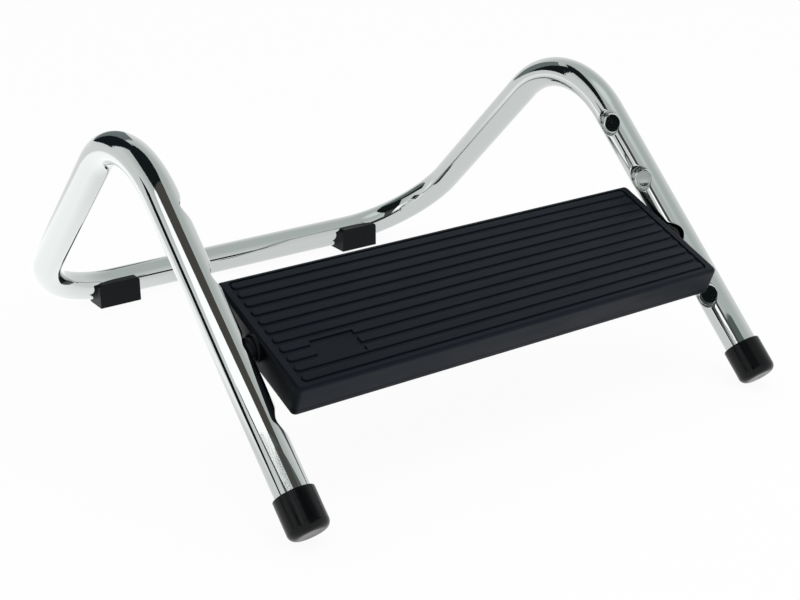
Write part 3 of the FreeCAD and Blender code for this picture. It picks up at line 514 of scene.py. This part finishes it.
def hang_painted_reflection(name, spot, low_edge, high_edge, hex_colour, glow, softness=0.0):
    """A flat glowing sheet, a painted reflection that only glossy rays see, between two edges of points
    in its plane.
    Softness fades it from its middle to its edges."""
    board = bmesh.new()
    steps = len(low_edge) - 1
    bmesh.ops.create_grid(board, x_segments=steps, y_segments=1, size=0.5, calc_uvs=True)
    for corner in board.verts:
        edge = low_edge if corner.co.y < 0 else high_edge
        corner.co = spot(*edge[round((corner.co.x + 0.5) * steps)])
    mesh = bpy.data.meshes.new(name)
    mesh.uv_layers.new(name="UVMap")
    board.to_mesh(mesh)
    board.free()
    surface, tree = empty_material(name)
    lit = put(tree, "ShaderNodeEmission", {"Color": linear(hex_colour), "Strength": glow})
    lit = lit.outputs["Emission"]
    if softness:
        place = put(tree, "ShaderNodeUVMap").outputs["UV"]
        off = put(tree, "ShaderNodeVectorMath", {0: place, 1: (0.5, 0.5, 0)}, operation="DISTANCE")
        fade = put(tree, "ShaderNodeMapRange", {"Value": off.outputs["Value"], "From Min": 0.5,
                                                "From Max": 0.5 - softness},
                   interpolation_type="SMOOTHSTEP")
        clear = put(tree, "ShaderNodeBsdfTransparent", {"Color": (1, 1, 1, 1)}).outputs["BSDF"]
        lit = put(tree, "ShaderNodeMixShader", {0: fade.outputs["Result"], 1: clear, 2: lit})
        lit = lit.outputs["Shader"]
    put(tree, "ShaderNodeOutputMaterial", {"Surface": lit})
    mesh.materials.append(surface)
    made = bpy.data.objects.new(name, mesh)
    bpy.context.scene.collection.objects.link(made)
    made.visible_camera = made.visible_diffuse = made.visible_shadow = False
    made.visible_transmission = made.visible_volume_scatter = False


# The brown and black flags are painted reflections that make the dark band of the left leg, and the
# black of its hump.
hang_painted_reflection("painted_flag_brown", over_legs(LEG_GAP),
           [(-0.27, -0.1), (-0.27, 0.1), (-0.31, 0.2), (-0.37, 0.3), (-0.42, 0.4), (-0.47, 0.47)],
           [(-0.1, -0.1), (-0.09, 0.1), (-0.1, 0.2), (-0.12, 0.3), (-0.13, 0.4), (-0.12, 0.47)],
           "#56534f", 1.0)
hang_painted_reflection("painted_flag_black", over_legs(LEG_GAP),
           [(-0.47, 0.47), (-0.56, 0.6), (-0.66, 0.8), (-0.75, 1.1), (-0.95, 1.7), (-1.2, 3)],
           [(-0.12, 0.47), (-0.06, 0.6), (0, 0.8), (0.06, 1.1), (0.1, 1.7), (0.1, 3)],
           "#1a2022", 1.0)
hang_painted_reflection("painted_flag_back", behind(BACK_GAP), [(-0.66, 0.3), (-0.22, 0.22)],
           [(-0.66, 1.38), (-0.16, 1.38)], "#1a2022", 1.0)
hang_painted_reflection("painted_flag_grey", behind(GREY_GAP), [(-0.24, 0.22), (0.2, 0.22)],
           [(-0.24, 0.9), (0.2, 0.9)], "#7c8484", 1.0)
# The flag beside is a painted reflection that darkens the floors of the right leg's seats.
hang_painted_reflection("painted_flag_beside", beside(SIDE_GAP), [(-0.1, 0), (0.2, 0)],
           [(0.17, 0.46), (0.42, 0.46)], "#14191a", 1.0)
# The white board is a painted reflection that makes the left leg's bright band, and the grey strip one
# that makes the thin line at its edge.
hang_painted_reflection("painted_board_west", over_legs(LEG_GAP),
           [(-0.5, 0.0), (-0.6, 0.15), (-0.82, 0.25), (-1.04, 0.35), (-1.4, 0.5)],
           [(-0.27, 0.0), (-0.29, 0.15), (-0.34, 0.25), (-0.4, 0.35), (-0.49, 0.5)],
           "#ffffff", 1.7)
hang_painted_reflection("painted_line_west", over_legs(LEG_GAP),
           [(-0.58, 0.0), (-0.7, 0.15), (-0.94, 0.25), (-1.17, 0.35), (-1.55, 0.5)],
           [(-0.5, 0.0), (-0.6, 0.15), (-0.82, 0.25), (-1.04, 0.35), (-1.4, 0.5)],
           "#454b4c", 1.0)
# The soft board is a painted reflection that brightens the right hump, and the low flag one that darkens
# the foot of the right leg.
hang_painted_reflection("painted_board_soft", over_legs(SOFT_GAP), [(-0.12, 0.4), (0.38, 0.4)],
           [(-0.12, 0.84), (0.38, 0.84)], "#ffffff", 1.9, softness=0.4)
hang_painted_reflection("painted_flag_low", over_legs(LEG_GAP), [(-0.9, 0.1), (-0.4, 0.03), (0.17, 0.0)],
           [(-0.9, 0.28), (-0.4, 0.17), (0.17, 0.12)], "#66726f", 1.0)

# Camera: a short telephoto at the left front, a little over a metre off, that looks down on the part.
FOCAL_LENGTH, SENSOR_WIDTH, CLIP_START = 66.42, 36.0, 0.01
YAW, PITCH, ROLL = 0.611, 0.382, -0.002
camera_data = bpy.data.cameras.new("camera")
camera_data.lens = FOCAL_LENGTH
camera_data.sensor_width = SENSOR_WIDTH
camera_data.clip_start = CLIP_START
camera = bpy.data.objects.new("camera", camera_data)
bpy.context.scene.collection.objects.link(camera)
camera.location = (-0.6240, -0.9319, 0.4937)
camera.rotation_euler = (Matrix.Rotation(-YAW, 3, "Z") @ Matrix.Rotation(pi / 2 - PITCH, 3, "X")
                         @ Matrix.Rotation(ROLL, 3, "Z")).to_euler()
bpy.context.scene.camera = camera
bpy.context.scene.view_settings.view_transform = "Standard"
